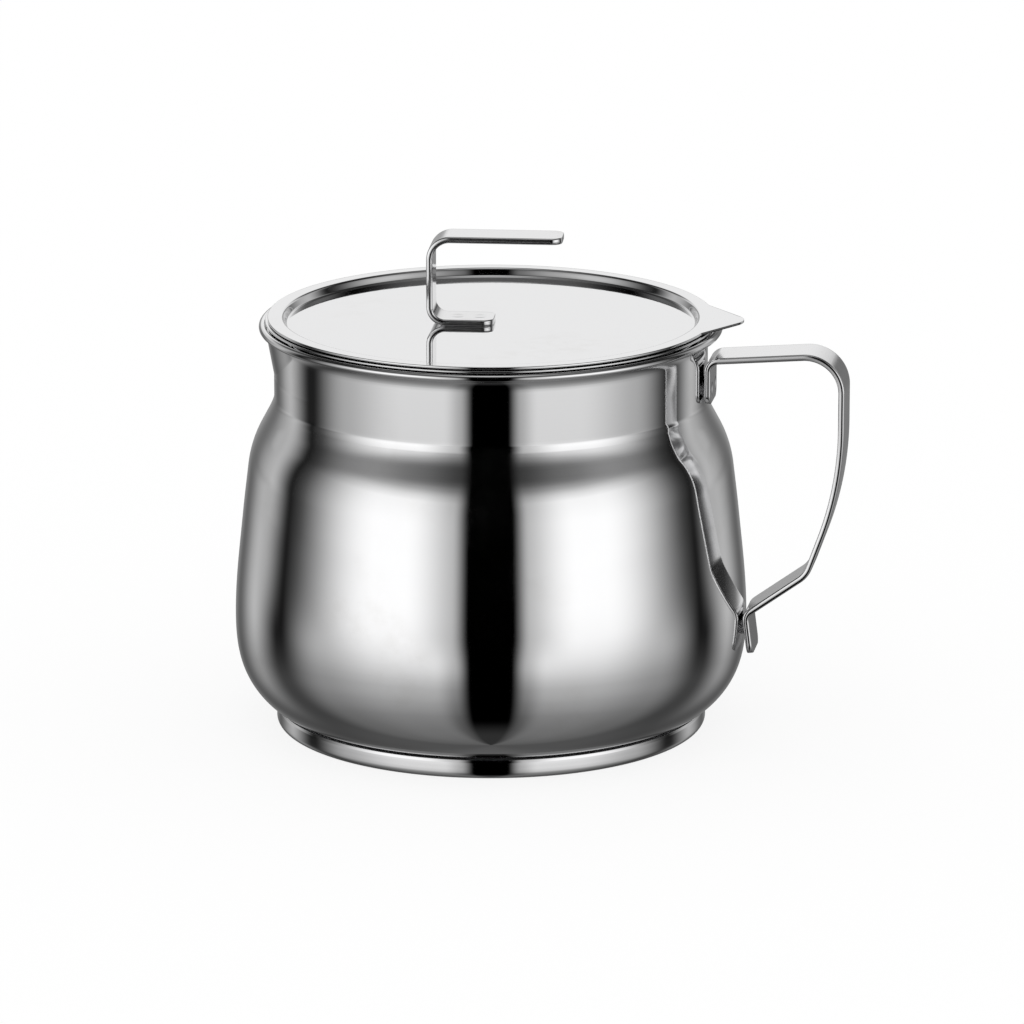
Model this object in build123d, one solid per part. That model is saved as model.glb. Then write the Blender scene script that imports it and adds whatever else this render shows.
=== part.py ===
from build123d import *
import math
import os

# Grease container: a drawn steel pot with a capsule base and a strap handle, a
# lift-out strainer and a lift-off lid with a bent strip grip. Millimetres, +Z up,
# origin at the centre of the base underside, handle towards +X, pour lip towards -X.

# ---------------------------------------------------------------- driving sizes
# Outside radius of the neck and height of the rim, from which the pot's other radii and
# its upper heights are set off
NECK_RADIUS = 68.9
RIM_TOP_HEIGHT = 131.2

# Capsule base
CAPSULE_SHEET = 0.6
CAPSULE_INSET = 0.15
CAPSULE_FLARE = 0.15
CAPSULE_EDGE_RADIUS = 2.2
CAPSULE_WALL_HEIGHT = 5.4
CAPSULE_LIP_HEIGHT = 0.9
CAPSULE_LIP_LEAN = 0.15
CORE_THICKNESS = 5.4
CORE_EDGE_CLEARANCE = 0.3

# Pot shell: how far its outside reaches past the neck, at heights above the base and
# then at depths under the rim
POT_SHEET = 0.8
FLOOR_FLAT_INSET = 4.4
HEEL_REACH, HEEL_HEIGHT = 4.7, 10.6
LOWER_BELLY_REACH, LOWER_BELLY_HEIGHT = 10.8, 20.2
BELLY_REACH, BELLY_HEIGHT = 12.9, 36.0
UPPER_BELLY_REACH, UPPER_BELLY_DEPTH = 10.6, 65.2
BELLY_END_REACH, BELLY_END_DEPTH = 9.5, 55.2
SHOULDER_REACH, SHOULDER_DEPTH = 7.6, 39.8
SHOULDER_BEND = 35.0
NECK_FOOT_REACH, NECK_FOOT_DEPTH = 1.24, 28.0
NECK_FOOT_BEND = 36.0
NECK_START_DEPTH = 24.7
NECK_BEND = 5.0

# Rim: a short flare that curls outwards into a bead, with its reach past the neck
FLARE_START_DEPTH = 5.7
FLARE_MID_REACH, FLARE_MID_DEPTH = 0.85, 2.85
FLARE_LEAN = 65.0
RIM_REACH = 4.7
RIM_BEAD_RADIUS = 1.25
RIM_CURL_ANGLE = 248.0

# Pour lip: a shallow slanted channel pressed into the neck below the bead
LIP_INSET = 8.9
LIP_START_DEPTH = 17.7
LIP_TOP_DEPTH = 2.2
LIP_REACH = 2.9
LIP_CAVITY_DROP = 1.0

# Handle strap, given by its mid-line in the XZ plane; the grip bends just below halfway
STRAP_WIDTH = 16.0
STRAP_SHEET = 2.0
STRAP_EDGE_ROUND = 0.6
STRAP_CORNER_RADIUS = 3.0
UPPER_TAB_CLEARANCE = 0.45
LOWER_TAB_CLEARANCE = 0.1
UPPER_TAB_LENGTH = 14.2
TOP_BAR_DEPTH = 9.0
TOP_BAR_RISE = 4.7
GRIP_SPAN = 44.0
GRIP_BEND_DROP = 4.7
GRIP_LEAN = 19.8
LOWER_CORNER_RISE = 13.95
LOWER_BEND_RISE = 3.85
LOWER_TAB_LENGTH = 12.95
LOWER_TAB_SPLAY = 7.4
STRAP_TAB_BEND = 3.6
STRAP_TOP_BEND = 11.5
STRAP_GRIP_BEND = 105.0
STRAP_LOWER_BEND = 9.0

# Spot welds
WELD_RADIUS = 2.1
WELD_PENETRATION = 0.4
WELD_SPACING = 8.0
WELD_DIMPLE_RADIUS = 2.4
STRAP_DIMPLE_DEPTH = 0.35
GRIP_DIMPLE_DEPTH = 0.1
UPPER_WELD_DROP = 9.6
LOWER_WELD_DROP = 4.65

# Strainer
STRAINER_SHEET = 0.6
STRAINER_FLANGE_INSET = 2.0
STRAINER_FLANGE_BEND = 1.0
STRAINER_FLOAT = 0.3
COLLAR_CLEARANCE = 0.35
COLLAR_DEPTH = 17.0
LEDGE_WIDTH = 5.0
LEDGE_BEND = 1.5
MESH_THICKNESS = 0.5
MESH_DEPTH = 26.0
MESH_EDGE_CLEARANCE = 0.6
BAND_THICKNESS = 0.8
BAND_WIDTH = 3.4
BAND_WELDS = 8
BAND_WELD_RADIUS = 1.1

# Lid
LID_SHEET = 0.8
LID_FLOAT = 0.3
LID_FLANGE_INSET = 0.8
LID_PLUG_CLEARANCE = 0.35
LID_RECESS_DEPTH = 2.55
LID_WALL_SLOPE = 1.1
LID_FLANGE_BEND = 0.9
LID_DISC_BEND = 0.8
LID_TURN = 4.0
TAB_LENGTH = 9.6
TAB_TIP_RADIUS = 8.1
TAB_HALF_ANGLE = 16.0

# Lid grip, given by its mid-line in the XZ plane
GRIP_WIDTH = 13.0
GRIP_SHEET = 2.0
GRIP_EDGE_ROUND = 0.6
GRIP_CORNER_RADIUS = 3.5
GRIP_FOOT_END = 1.2
GRIP_POST = -19.0
GRIP_BAR_END = 23.0
GRIP_BAR_RISE = 28.3
GRIP_FOOT_BEND = 5.0
GRIP_BAR_BEND = 6.5
GRIP_WELD_PLACES = (-10.5, -3.5)

# Working values
CUT_OVERRUN = 1.0
LENGTH_TOLERANCE = 1e-3

# ---------------------------------------------------------------- derived sizes
FLOOR_HEIGHT = CAPSULE_SHEET + CORE_THICKNESS
CAPSULE_RADIUS = NECK_RADIUS - CAPSULE_INSET
BELLY_RADIUS = NECK_RADIUS + BELLY_REACH
NECK_BORE = NECK_RADIUS - POT_SHEET
RIM_RADIUS = NECK_RADIUS + RIM_REACH
BEAD_CENTRE = (RIM_RADIUS - RIM_BEAD_RADIUS, RIM_TOP_HEIGHT - RIM_BEAD_RADIUS)
LIP_RADIUS = NECK_RADIUS - LIP_INSET
LIP_START_HEIGHT = RIM_TOP_HEIGHT - LIP_START_DEPTH
LIP_TOP_HEIGHT = RIM_TOP_HEIGHT - LIP_TOP_DEPTH

GRIP_REACH = NECK_RADIUS + GRIP_SPAN
TOP_BAR_HEIGHT = RIM_TOP_HEIGHT - TOP_BAR_DEPTH
UPPER_TAB_HEIGHT = TOP_BAR_HEIGHT - UPPER_TAB_LENGTH
UPPER_WELD_HEIGHT = TOP_BAR_HEIGHT - UPPER_WELD_DROP
LOWER_BEND_HEIGHT = BELLY_HEIGHT + LOWER_BEND_RISE
LOWER_CORNER_HEIGHT = LOWER_BEND_HEIGHT + LOWER_CORNER_RISE
GRIP_BEND_HEIGHT = (TOP_BAR_HEIGHT + LOWER_CORNER_HEIGHT) / 2 - GRIP_BEND_DROP
LOWER_TAB_HEIGHT = LOWER_BEND_HEIGHT - LOWER_TAB_LENGTH
LOWER_WELD_HEIGHT = LOWER_BEND_HEIGHT - LOWER_WELD_DROP

STRAINER_FLANGE_RADIUS = RIM_RADIUS - STRAINER_FLANGE_INSET
STRAINER_SEAT = RIM_TOP_HEIGHT + STRAINER_FLOAT
STRAINER_TOP = STRAINER_SEAT + STRAINER_SHEET
COLLAR_RADIUS = NECK_BORE - COLLAR_CLEARANCE
COLLAR_BORE = COLLAR_RADIUS - STRAINER_SHEET
LEDGE_TOP = STRAINER_TOP - COLLAR_DEPTH
LEDGE_BORE = COLLAR_BORE - LEDGE_WIDTH
MESH_RADIUS = COLLAR_BORE - LEDGE_BEND - MESH_EDGE_CLEARANCE
MESH_TOP = LEDGE_TOP + MESH_THICKNESS
BAND_BORE = LEDGE_BORE + LEDGE_BEND / 4

LID_FLANGE_RADIUS = STRAINER_FLANGE_RADIUS - LID_FLANGE_INSET
TAB_REACH = LID_FLANGE_RADIUS + TAB_LENGTH
LID_SEAT = STRAINER_TOP + LID_FLOAT
LID_TOP = LID_SEAT + LID_SHEET
LID_PLUG_RADIUS = COLLAR_BORE - LID_PLUG_CLEARANCE
DISC_TOP = LID_TOP - LID_RECESS_DEPTH
GRIP_BAR_TOP = RIM_TOP_HEIGHT + GRIP_BAR_RISE
LID_FRAME = Rot(0, 0, LID_TURN)


# ---------------------------------------------------------------- helpers
def heading(degrees):
    """Unit vector in the profile plane, measured from +r towards +z."""
    angle = math.radians(degrees)
    return Vector(math.cos(angle), math.sin(angle))


def smooth_line(points, start, end):
    """Spline through points with unit directions at its two ends."""
    return Spline(points, tangents=[start, end], tangent_scalars=[1, 1])


def shifted(edge, distance, samples=20):
    """The edge moved sideways by distance, to the left of its own direction."""

    def moved(t):
        along = edge % t
        return (edge @ t) + Vector(-along.Y, along.X) * distance

    if edge.geom_type == GeomType.LINE:
        return Line(moved(0), moved(1))
    if edge.geom_type == GeomType.CIRCLE:
        return ThreePointArc(moved(0), moved(0.5), moved(1))
    points = [moved(i / samples) for i in range(samples + 1)]
    return smooth_line(points, edge % 0, edge % 1)


def sheet_section(path, thickness):
    """Face of a bent sheet that follows path; path is one side of the sheet."""
    other = [shifted(edge, thickness) for edge in path]
    ends = [Line(path[0] @ 0, other[0] @ 0), Line(path[-1] @ 1, other[-1] @ 1)]
    return make_face(Wire(path + other + ends).edges())


def spun(section):
    """Solid of revolution about Z from a section drawn in r and z."""
    return revolve(Plane.XZ * section, Axis.Z, 360)


def ring(outer, inner, low, high):
    """Flat washer between two heights."""
    outline = Polyline((inner, low), (outer, low), (outer, high), (inner, high), close=True)
    return spun(make_face(outline.edges()))


def disc(radius, low, high):
    """Plain disc between two heights."""
    return Pos(0, 0, low) * Cylinder(
        radius, high - low, align=(Align.CENTER, Align.CENTER, Align.MIN)
    )


def bent_strip(corners, radii, sheet, width):
    """Flat strip bent along a mid-line in XZ, centred on the XZ plane."""
    middle = FilletPolyline(*corners, radius=radii)
    low_side = [shifted(edge, -sheet / 2) for edge in ordered(middle)]
    section = sheet_section(low_side, sheet)
    return extrude(Plane.XZ * section, width / 2, both=True)


def ordered(path):
    """Edges of a path from its start to its end."""
    return path.wire().order_edges() if hasattr(path, "wire") else path.order_edges()


def eased(strip, sheet, width, corner, edge_round):
    """Rounds the four end corners of a strip and softens its long edges."""
    short = [
        edge
        for edge in strip.edges().filter_by(GeomType.LINE)
        if abs(edge.length - sheet) < LENGTH_TOLERANCE
    ]
    strip = fillet(short, corner)
    sides = [
        edge
        for edge in strip.edges()
        if abs(abs(edge.center().Y) - width / 2) < LENGTH_TOLERANCE
    ]
    return fillet(sides, edge_round)


def weld_pair(centre, axis):
    """Places of two welds side by side along Y, with their own z along axis."""
    plane = Plane(origin=centre, x_dir=(0, 1, 0), z_dir=axis)
    places = GridLocations(WELD_SPACING, WELD_SPACING, 2, 1)
    return [plane.location * place for place in places.locations]


def nugget(length):
    """Round weld nugget of a given length about its own middle."""
    return Cylinder(WELD_RADIUS, length)


def dimple(depth):
    """End of a ball that cuts a shallow electrode mark into a face at its origin."""
    ball = (WELD_DIMPLE_RADIUS**2 + depth**2) / (2 * depth)
    reach = Cylinder(WELD_DIMPLE_RADIUS + CUT_OVERRUN, 2 * CUT_OVERRUN)
    return Pos(0, 0, ball - depth) * Sphere(ball) & reach


def cut_all(body, tools):
    """The body with every tool taken out of it."""
    for tool in tools:
        body = body - tool
    return body


# ---------------------------------------------------------------- base
def make_core():
    """Aluminium heat spreader under the pot floor."""
    radius = CAPSULE_RADIUS - CAPSULE_SHEET - CORE_EDGE_CLEARANCE
    core = disc(radius, CAPSULE_SHEET, FLOOR_HEIGHT)
    return fillet(core.edges().sort_by(Axis.Z)[0], CAPSULE_EDGE_RADIUS - CAPSULE_SHEET)


def make_capsule():
    """Steel cap that closes the heat spreader in."""
    top = CAPSULE_WALL_HEIGHT + CAPSULE_LIP_HEIGHT
    path = FilletPolyline(
        (0, 0),
        (CAPSULE_RADIUS + CAPSULE_FLARE, 0),
        (CAPSULE_RADIUS, CAPSULE_WALL_HEIGHT),
        (CAPSULE_RADIUS - CAPSULE_LIP_LEAN, top),
        radius=[CAPSULE_EDGE_RADIUS, CAPSULE_LIP_HEIGHT],
    )
    return spun(sheet_section(ordered(path), CAPSULE_SHEET))


# ---------------------------------------------------------------- pot shell
def past_neck(reach, height):
    """Point of the pot's profile at a reach past the neck's outside."""
    return Vector(NECK_RADIUS + reach, height)


def under_rim(reach, depth):
    """Point of the pot's profile at a reach past the neck and a depth under the rim."""
    return past_neck(reach, RIM_TOP_HEIGHT - depth)


def shell_outside():
    """Outside line of the shell from the middle of the floor to the bead."""
    floor_edge = past_neck(-FLOOR_FLAT_INSET, FLOOR_HEIGHT)
    belly_end = under_rim(BELLY_END_REACH, BELLY_END_DEPTH)
    shoulder_corner = under_rim(SHOULDER_REACH, SHOULDER_DEPTH)
    flare_start = under_rim(0, FLARE_START_DEPTH)
    floor = Line((0, FLOOR_HEIGHT), floor_edge)
    belly_points = [
        floor_edge,
        past_neck(HEEL_REACH, HEEL_HEIGHT),
        past_neck(LOWER_BELLY_REACH, LOWER_BELLY_HEIGHT),
        past_neck(BELLY_REACH, BELLY_HEIGHT),
        under_rim(UPPER_BELLY_REACH, UPPER_BELLY_DEPTH),
        belly_end,
    ]
    belly = smooth_line(belly_points, heading(0), (shoulder_corner - belly_end).normalized())
    shoulder = FilletPolyline(
        belly_end,
        shoulder_corner,
        under_rim(NECK_FOOT_REACH, NECK_FOOT_DEPTH),
        under_rim(0, NECK_START_DEPTH),
        flare_start,
        radius=[SHOULDER_BEND, NECK_FOOT_BEND, NECK_BEND],
    )
    # The curl is an arc of the sheet's outer side about the bead's centre.
    curl_start = 180 - FLARE_LEAN
    inner_curl = RIM_BEAD_RADIUS - POT_SHEET
    curl = CenterArc(BEAD_CENTRE, inner_curl, curl_start, -RIM_CURL_ANGLE)
    flare_middle = under_rim(FLARE_MID_REACH, FLARE_MID_DEPTH)
    flare = smooth_line(
        [flare_start, flare_middle, curl @ 0], heading(90), heading(90 - FLARE_LEAN)
    )
    return [floor, belly] + ordered(shoulder) + [flare, curl]


def lip_channel(radius, top):
    """Slanted round bar that leaves the neck at the lip's foot and leans outwards."""
    climb = LIP_TOP_HEIGHT - LIP_START_HEIGHT
    slope = LIP_REACH / climb
    low = LIP_START_HEIGHT - climb / 2
    foot_x = slope * climb / 2 - LIP_INSET
    rise = Vector(-slope, 0, 1) * (top - low)
    foot = Pos(foot_x, 0, low) * Circle(radius)
    return extrude(foot, amount=rise.length, dir=rise.normalized())


def make_shell(nuggets):
    """Drawn pot shell with floor, belly, neck, rolled rim and pour lip."""
    outside = shell_outside()
    shell = spun(sheet_section(outside, POT_SHEET))
    inside = Wire([shifted(edge, POT_SHEET) for edge in outside[:-1]])
    cavity = spun(
        make_face(
            inside.edges()
            + Polyline(inside @ 1, (0, (inside @ 1).Y), inside @ 0).edges()
        )
    )
    shell = shell + (lip_channel(LIP_RADIUS, LIP_TOP_HEIGHT) - cavity)
    shell = shell - lip_channel(LIP_RADIUS - POT_SHEET, LIP_TOP_HEIGHT - LIP_CAVITY_DROP)
    return cut_all(shell, nuggets)


# ---------------------------------------------------------------- handle
def strap_corners():
    """Corner points of the strap's mid-line, from the upper tab to the lower."""
    half = STRAP_SHEET / 2
    upper_x = NECK_RADIUS + UPPER_TAB_CLEARANCE + half
    lower_x = BELLY_RADIUS + LOWER_TAB_CLEARANCE + half
    rise = math.tan(math.radians(TOP_BAR_RISE)) * (GRIP_REACH - upper_x)
    lean = math.tan(math.radians(GRIP_LEAN)) * (GRIP_BEND_HEIGHT - LOWER_CORNER_HEIGHT)
    splay = math.tan(math.radians(LOWER_TAB_SPLAY)) * (LOWER_BEND_HEIGHT - LOWER_TAB_HEIGHT)
    return [
        (upper_x, UPPER_TAB_HEIGHT),
        (upper_x, TOP_BAR_HEIGHT),
        (GRIP_REACH, TOP_BAR_HEIGHT + rise),
        (GRIP_REACH, GRIP_BEND_HEIGHT),
        (GRIP_REACH - lean, LOWER_CORNER_HEIGHT),
        (lower_x, LOWER_BEND_HEIGHT),
        (lower_x + splay, LOWER_TAB_HEIGHT),
    ]


def lower_weld_frame():
    """Centre and outward axis of the welds on the splayed lower tab."""
    splay = math.radians(LOWER_TAB_SPLAY)
    x = (
        BELLY_RADIUS
        + LOWER_TAB_CLEARANCE
        + STRAP_SHEET / 2
        + math.tan(splay) * (LOWER_BEND_HEIGHT - LOWER_WELD_HEIGHT)
    )
    return Vector(x, 0, LOWER_WELD_HEIGHT), Vector(math.cos(splay), 0, math.sin(splay))


def make_strap(nuggets):
    """Handle strap with rounded tabs and weld marks on their outer faces."""
    radii = [STRAP_TAB_BEND, STRAP_TOP_BEND, STRAP_GRIP_BEND, STRAP_LOWER_BEND, STRAP_TAB_BEND]
    strap = bent_strip(strap_corners(), radii, STRAP_SHEET, STRAP_WIDTH)
    strap = eased(strap, STRAP_SHEET, STRAP_WIDTH, STRAP_CORNER_RADIUS, STRAP_EDGE_ROUND)
    upper_face = Vector(NECK_RADIUS + UPPER_TAB_CLEARANCE + STRAP_SHEET, 0, UPPER_WELD_HEIGHT)
    centre, axis = lower_weld_frame()
    lower_face = centre + axis * (STRAP_SHEET / 2)
    places = weld_pair(upper_face, (1, 0, 0)) + weld_pair(lower_face, axis)
    marks = [place * dimple(STRAP_DIMPLE_DEPTH) for place in places]
    return cut_all(strap, nuggets + marks)


def upper_nuggets():
    """Welds between the neck and the upper tab."""
    wall_at_weld = math.sqrt(NECK_RADIUS**2 - (WELD_SPACING / 2) ** 2)
    inner = wall_at_weld - WELD_PENETRATION
    outer = NECK_RADIUS + UPPER_TAB_CLEARANCE + WELD_PENETRATION
    centre = ((inner + outer) / 2, 0, UPPER_WELD_HEIGHT)
    return [place * nugget(outer - inner) for place in weld_pair(centre, (1, 0, 0))]


def lower_nuggets():
    """Welds between the belly and the lower tab."""
    middle, axis = lower_weld_frame()
    inner_face = middle - axis * (STRAP_SHEET / 2)
    wall_at_weld = math.sqrt(BELLY_RADIUS**2 - (WELD_SPACING / 2) ** 2)
    reach = inner_face.X - wall_at_weld + 2 * WELD_PENETRATION
    centre = inner_face + axis * (WELD_PENETRATION - reach / 2)
    return [place * nugget(reach) for place in weld_pair(centre, axis)]


# ---------------------------------------------------------------- strainer
def make_collar(nuggets):
    """Flange, collar and inward ledge of the strainer, in one pressing."""
    path = FilletPolyline(
        (STRAINER_FLANGE_RADIUS, STRAINER_TOP),
        (COLLAR_BORE, STRAINER_TOP),
        (COLLAR_BORE, LEDGE_TOP),
        (LEDGE_BORE, LEDGE_TOP),
        radius=[STRAINER_FLANGE_BEND, LEDGE_BEND],
    )
    return cut_all(spun(sheet_section(ordered(path), STRAINER_SHEET)), nuggets)


def make_mesh(nuggets):
    """Bowl of woven wire, as a thin closed skin with a flat clamped edge."""
    radius = (LEDGE_BORE**2 + MESH_DEPTH**2) / (2 * MESH_DEPTH)
    low = MESH_TOP - MESH_DEPTH
    half = math.asin(LEDGE_BORE / radius) / 2
    middle = (radius * math.sin(half), low + radius * (1 - math.cos(half)))
    bowl = ThreePointArc((0, low), middle, (LEDGE_BORE, MESH_TOP))
    edge = Line((LEDGE_BORE, MESH_TOP), (MESH_RADIUS, MESH_TOP))
    under_bowl = shifted(bowl, -MESH_THICKNESS)
    under_edge = shifted(edge, -MESH_THICKNESS)
    joint = (under_bowl @ 1, under_edge @ 0)
    outline = [
        bowl,
        edge,
        Line(edge @ 1, under_edge @ 1),
        under_edge,
        Line(joint[1], joint[0]),
        under_bowl,
        Line(under_bowl @ 0, bowl @ 0),
    ]
    return cut_all(spun(make_face(outline)), nuggets)


def make_band(nuggets):
    """Flat ring that clamps the wire cloth down on the ledge."""
    band = ring(BAND_BORE + BAND_WIDTH, BAND_BORE, MESH_TOP, MESH_TOP + BAND_THICKNESS)
    return cut_all(band, nuggets)


def band_nuggets():
    """Welds through the cloth between the clamping ring and the ledge."""
    place_radius = BAND_BORE + BAND_WIDTH / 2
    low = LEDGE_TOP - STRAINER_SHEET / 2
    high = MESH_TOP + BAND_THICKNESS / 2
    places = PolarLocations(place_radius, BAND_WELDS)
    return [
        place * Pos(0, 0, (low + high) / 2) * Cylinder(BAND_WELD_RADIUS, high - low)
        for place in places.locations
    ]


# ---------------------------------------------------------------- lid
def tab_outline():
    """Flat outline of the flange with its pointed thumb tab."""
    centre_x = TAB_REACH - TAB_TIP_RADIUS
    half = math.radians(TAB_HALF_ANGLE)
    base = (LID_FLANGE_RADIUS * math.cos(half), LID_FLANGE_RADIUS * math.sin(half))
    to_base = math.atan2(base[1], base[0] - centre_x)
    distance = math.hypot(base[0] - centre_x, base[1])
    touch = to_base - math.acos(TAB_TIP_RADIUS / distance)
    tangent = (
        centre_x + TAB_TIP_RADIUS * math.cos(touch),
        TAB_TIP_RADIUS * math.sin(touch),
    )
    wedge = Polyline(
        (0, 0), base, tangent, (tangent[0], -tangent[1]), (base[0], -base[1]), close=True
    )
    return make_face(wedge.edges()) + Pos(centre_x, 0) * Circle(TAB_TIP_RADIUS)


def make_lid(nuggets):
    """Turned lid pressing: flange with thumb tab, short plug wall and sunk disc."""
    mouth = LID_PLUG_RADIUS - LID_SHEET
    path = FilletPolyline(
        (0, DISC_TOP),
        (mouth - LID_WALL_SLOPE, DISC_TOP),
        (mouth, LID_TOP),
        (LID_FLANGE_RADIUS, LID_TOP),
        radius=[LID_DISC_BEND, LID_FLANGE_BEND],
    )
    under = [shifted(edge, -LID_SHEET) for edge in ordered(path)]
    lid = spun(sheet_section(under, LID_SHEET))
    tab = extrude(Plane((0, 0, LID_SEAT)) * tab_outline(), LID_SHEET)
    tab = tab - disc(
        LID_FLANGE_RADIUS - CUT_OVERRUN, LID_SEAT - CUT_OVERRUN, LID_TOP + CUT_OVERRUN
    )
    return cut_all(LID_FRAME * (lid + tab), nuggets)


def make_grip(nuggets):
    """Bent strip grip that stands on the sunk disc, turned with the lid."""
    foot = DISC_TOP + GRIP_SHEET / 2
    bar = GRIP_BAR_TOP - GRIP_SHEET / 2
    corners = [(GRIP_FOOT_END, foot), (GRIP_POST, foot), (GRIP_POST, bar), (GRIP_BAR_END, bar)]
    grip = bent_strip(corners, [GRIP_FOOT_BEND, GRIP_BAR_BEND], GRIP_SHEET, GRIP_WIDTH)
    grip = eased(grip, GRIP_SHEET, GRIP_WIDTH, GRIP_CORNER_RADIUS, GRIP_EDGE_ROUND)
    top = DISC_TOP + GRIP_SHEET
    marks = [Pos(x, 0, top) * dimple(GRIP_DIMPLE_DEPTH) for x in GRIP_WELD_PLACES]
    return cut_all(LID_FRAME * cut_all(grip, marks), nuggets)


def grip_nuggets():
    """Welds between the grip's foot and the disc, turned with the lid."""
    return [
        LID_FRAME * Pos(x, 0, DISC_TOP) * nugget(2 * WELD_PENETRATION)
        for x in GRIP_WELD_PLACES
    ]


# ---------------------------------------------------------------- parts
upper_welds = upper_nuggets()
lower_welds = lower_nuggets()
band_welds = band_nuggets()
grip_welds = grip_nuggets()

parts = {
    "base_core": make_core(),
    "base_capsule": make_capsule(),
    "pot_shell": make_shell(upper_welds + lower_welds),
    "handle_strap": make_strap(upper_welds + lower_welds),
    "handle_upper_welds": Compound(children=upper_welds),
    "handle_lower_welds": Compound(children=lower_welds),
    "strainer_collar": make_collar(band_welds),
    "strainer_mesh": make_mesh(band_welds),
    "strainer_band": make_band(band_welds),
    "strainer_band_welds": Compound(children=band_welds),
    "lid_panel": make_lid(grip_welds),
    "lid_grip": make_grip(grip_welds),
    "lid_grip_welds": Compound(children=grip_welds),
}

os.makedirs("parts", exist_ok=True)
for name, shape in parts.items():
    export_step(shape, f"parts/{name}.step")
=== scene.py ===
"""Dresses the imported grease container: polished sheet steel, wire cloth and a plain studio."""

from __future__ import annotations

import logging
import math
from dataclasses import dataclass, field
from enum import Enum
from functools import partial
from typing import Callable

import bpy
import numpy as np
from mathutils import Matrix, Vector


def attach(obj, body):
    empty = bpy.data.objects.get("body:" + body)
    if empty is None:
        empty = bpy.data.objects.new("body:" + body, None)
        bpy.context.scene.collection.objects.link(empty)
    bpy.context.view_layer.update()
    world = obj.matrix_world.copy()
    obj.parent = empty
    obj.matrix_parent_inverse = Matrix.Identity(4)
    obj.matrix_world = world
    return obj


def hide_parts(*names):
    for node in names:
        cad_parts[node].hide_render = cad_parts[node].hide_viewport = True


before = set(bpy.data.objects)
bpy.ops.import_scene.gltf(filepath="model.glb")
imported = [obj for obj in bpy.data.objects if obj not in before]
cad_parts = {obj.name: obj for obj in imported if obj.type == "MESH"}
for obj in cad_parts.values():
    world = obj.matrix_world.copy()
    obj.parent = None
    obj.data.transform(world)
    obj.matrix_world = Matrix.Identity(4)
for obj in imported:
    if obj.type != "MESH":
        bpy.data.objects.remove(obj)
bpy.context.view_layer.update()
LOG = logging.getLogger("grease_container")
MM = 0.001
Point = tuple[float, float]
Face = tuple[int, ...]

# Fineness of the meshes, in millimetres and degrees.
CLOSE_STEP = 0.8
FINE_STEP = 1.0
PLAIN_STEP = 1.2
CUT_TURN = 22.5
SAME_PLACE = 1e-4
TINY = 1e-6

# Rounding along the cut edges of thin sheet, in millimetres.
THIN_CUT_ROUND = 0.15
CUT_ROUND = 0.2


# ------------------------------------------------------------------ lines in a plane
@dataclass(frozen=True)
class Line:
    """A line drawn in a plane, kept as points with unit directions, in millimetres.

    A turned piece reads it as radius and height, a bent strip as x and height.
    """

    points: np.ndarray
    directions: np.ndarray

    def shifted(self, distance: float) -> Line:
        """Returns the line moved sideways by distance, to the left of its direction."""
        left = np.column_stack([-self.directions[:, 1], self.directions[:, 0]])
        return Line(self.points + left * distance, self.directions)

    def reversed(self) -> Line:
        """Returns the same line run the other way."""
        return Line(self.points[::-1].copy(), -self.directions[::-1])

    def lengths(self) -> np.ndarray:
        """Returns how far along the line each point lies."""
        steps = np.linalg.norm(np.diff(self.points, axis=0), axis=1)
        return np.concatenate([[0.0], np.cumsum(steps)])


def straight(start: Point, end: Point, step: float = 1.5) -> Line:
    """Draws a straight run.

    Args:
        start: First point.
        end: Last point.
        step: Longest distance between two points.

    Returns:
        The run as a line.
    """
    a, b = np.array(start, float), np.array(end, float)
    length = float(np.linalg.norm(b - a))
    count = max(2, int(math.ceil(length / step)) + 1)
    share = np.linspace(0.0, 1.0, count)[:, None]
    return Line(a + (b - a) * share, np.tile((b - a) / length, (count, 1)))


def arc(centre: Point, radius: float, start: float, sweep: float, step: float = 6.0) -> Line:
    """Draws a round arc.

    Args:
        centre: Middle of the arc.
        radius: Its radius.
        start: Angle of the first point, in degrees.
        sweep: Angle that it runs through, in degrees; positive turns left.
        step: Largest angle between two points, in degrees.

    Returns:
        The arc as a line.
    """
    count = max(3, int(math.ceil(abs(sweep) / step)) + 1)
    angles = np.radians(np.linspace(start, start + sweep, count))
    ray = np.column_stack([np.cos(angles), np.sin(angles)])
    along = np.column_stack([-ray[:, 1], ray[:, 0]]) * math.copysign(1.0, sweep)
    return Line(np.array(centre, float) + ray * radius, along)


def joined(*lines: Line) -> Line:
    """Joins lines end to end and drops the points that they share.

    Args:
        lines: The lines, in their order.

    Returns:
        One line that runs through all of them.
    """
    points, directions = [lines[0].points], [lines[0].directions]
    for line in lines[1:]:
        gap = np.linalg.norm(line.points[0] - points[-1][-1])
        skip = 1 if gap < SAME_PLACE else 0
        points.append(line.points[skip:])
        directions.append(line.directions[skip:])
    return Line(np.vstack(points), np.vstack(directions))


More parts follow.
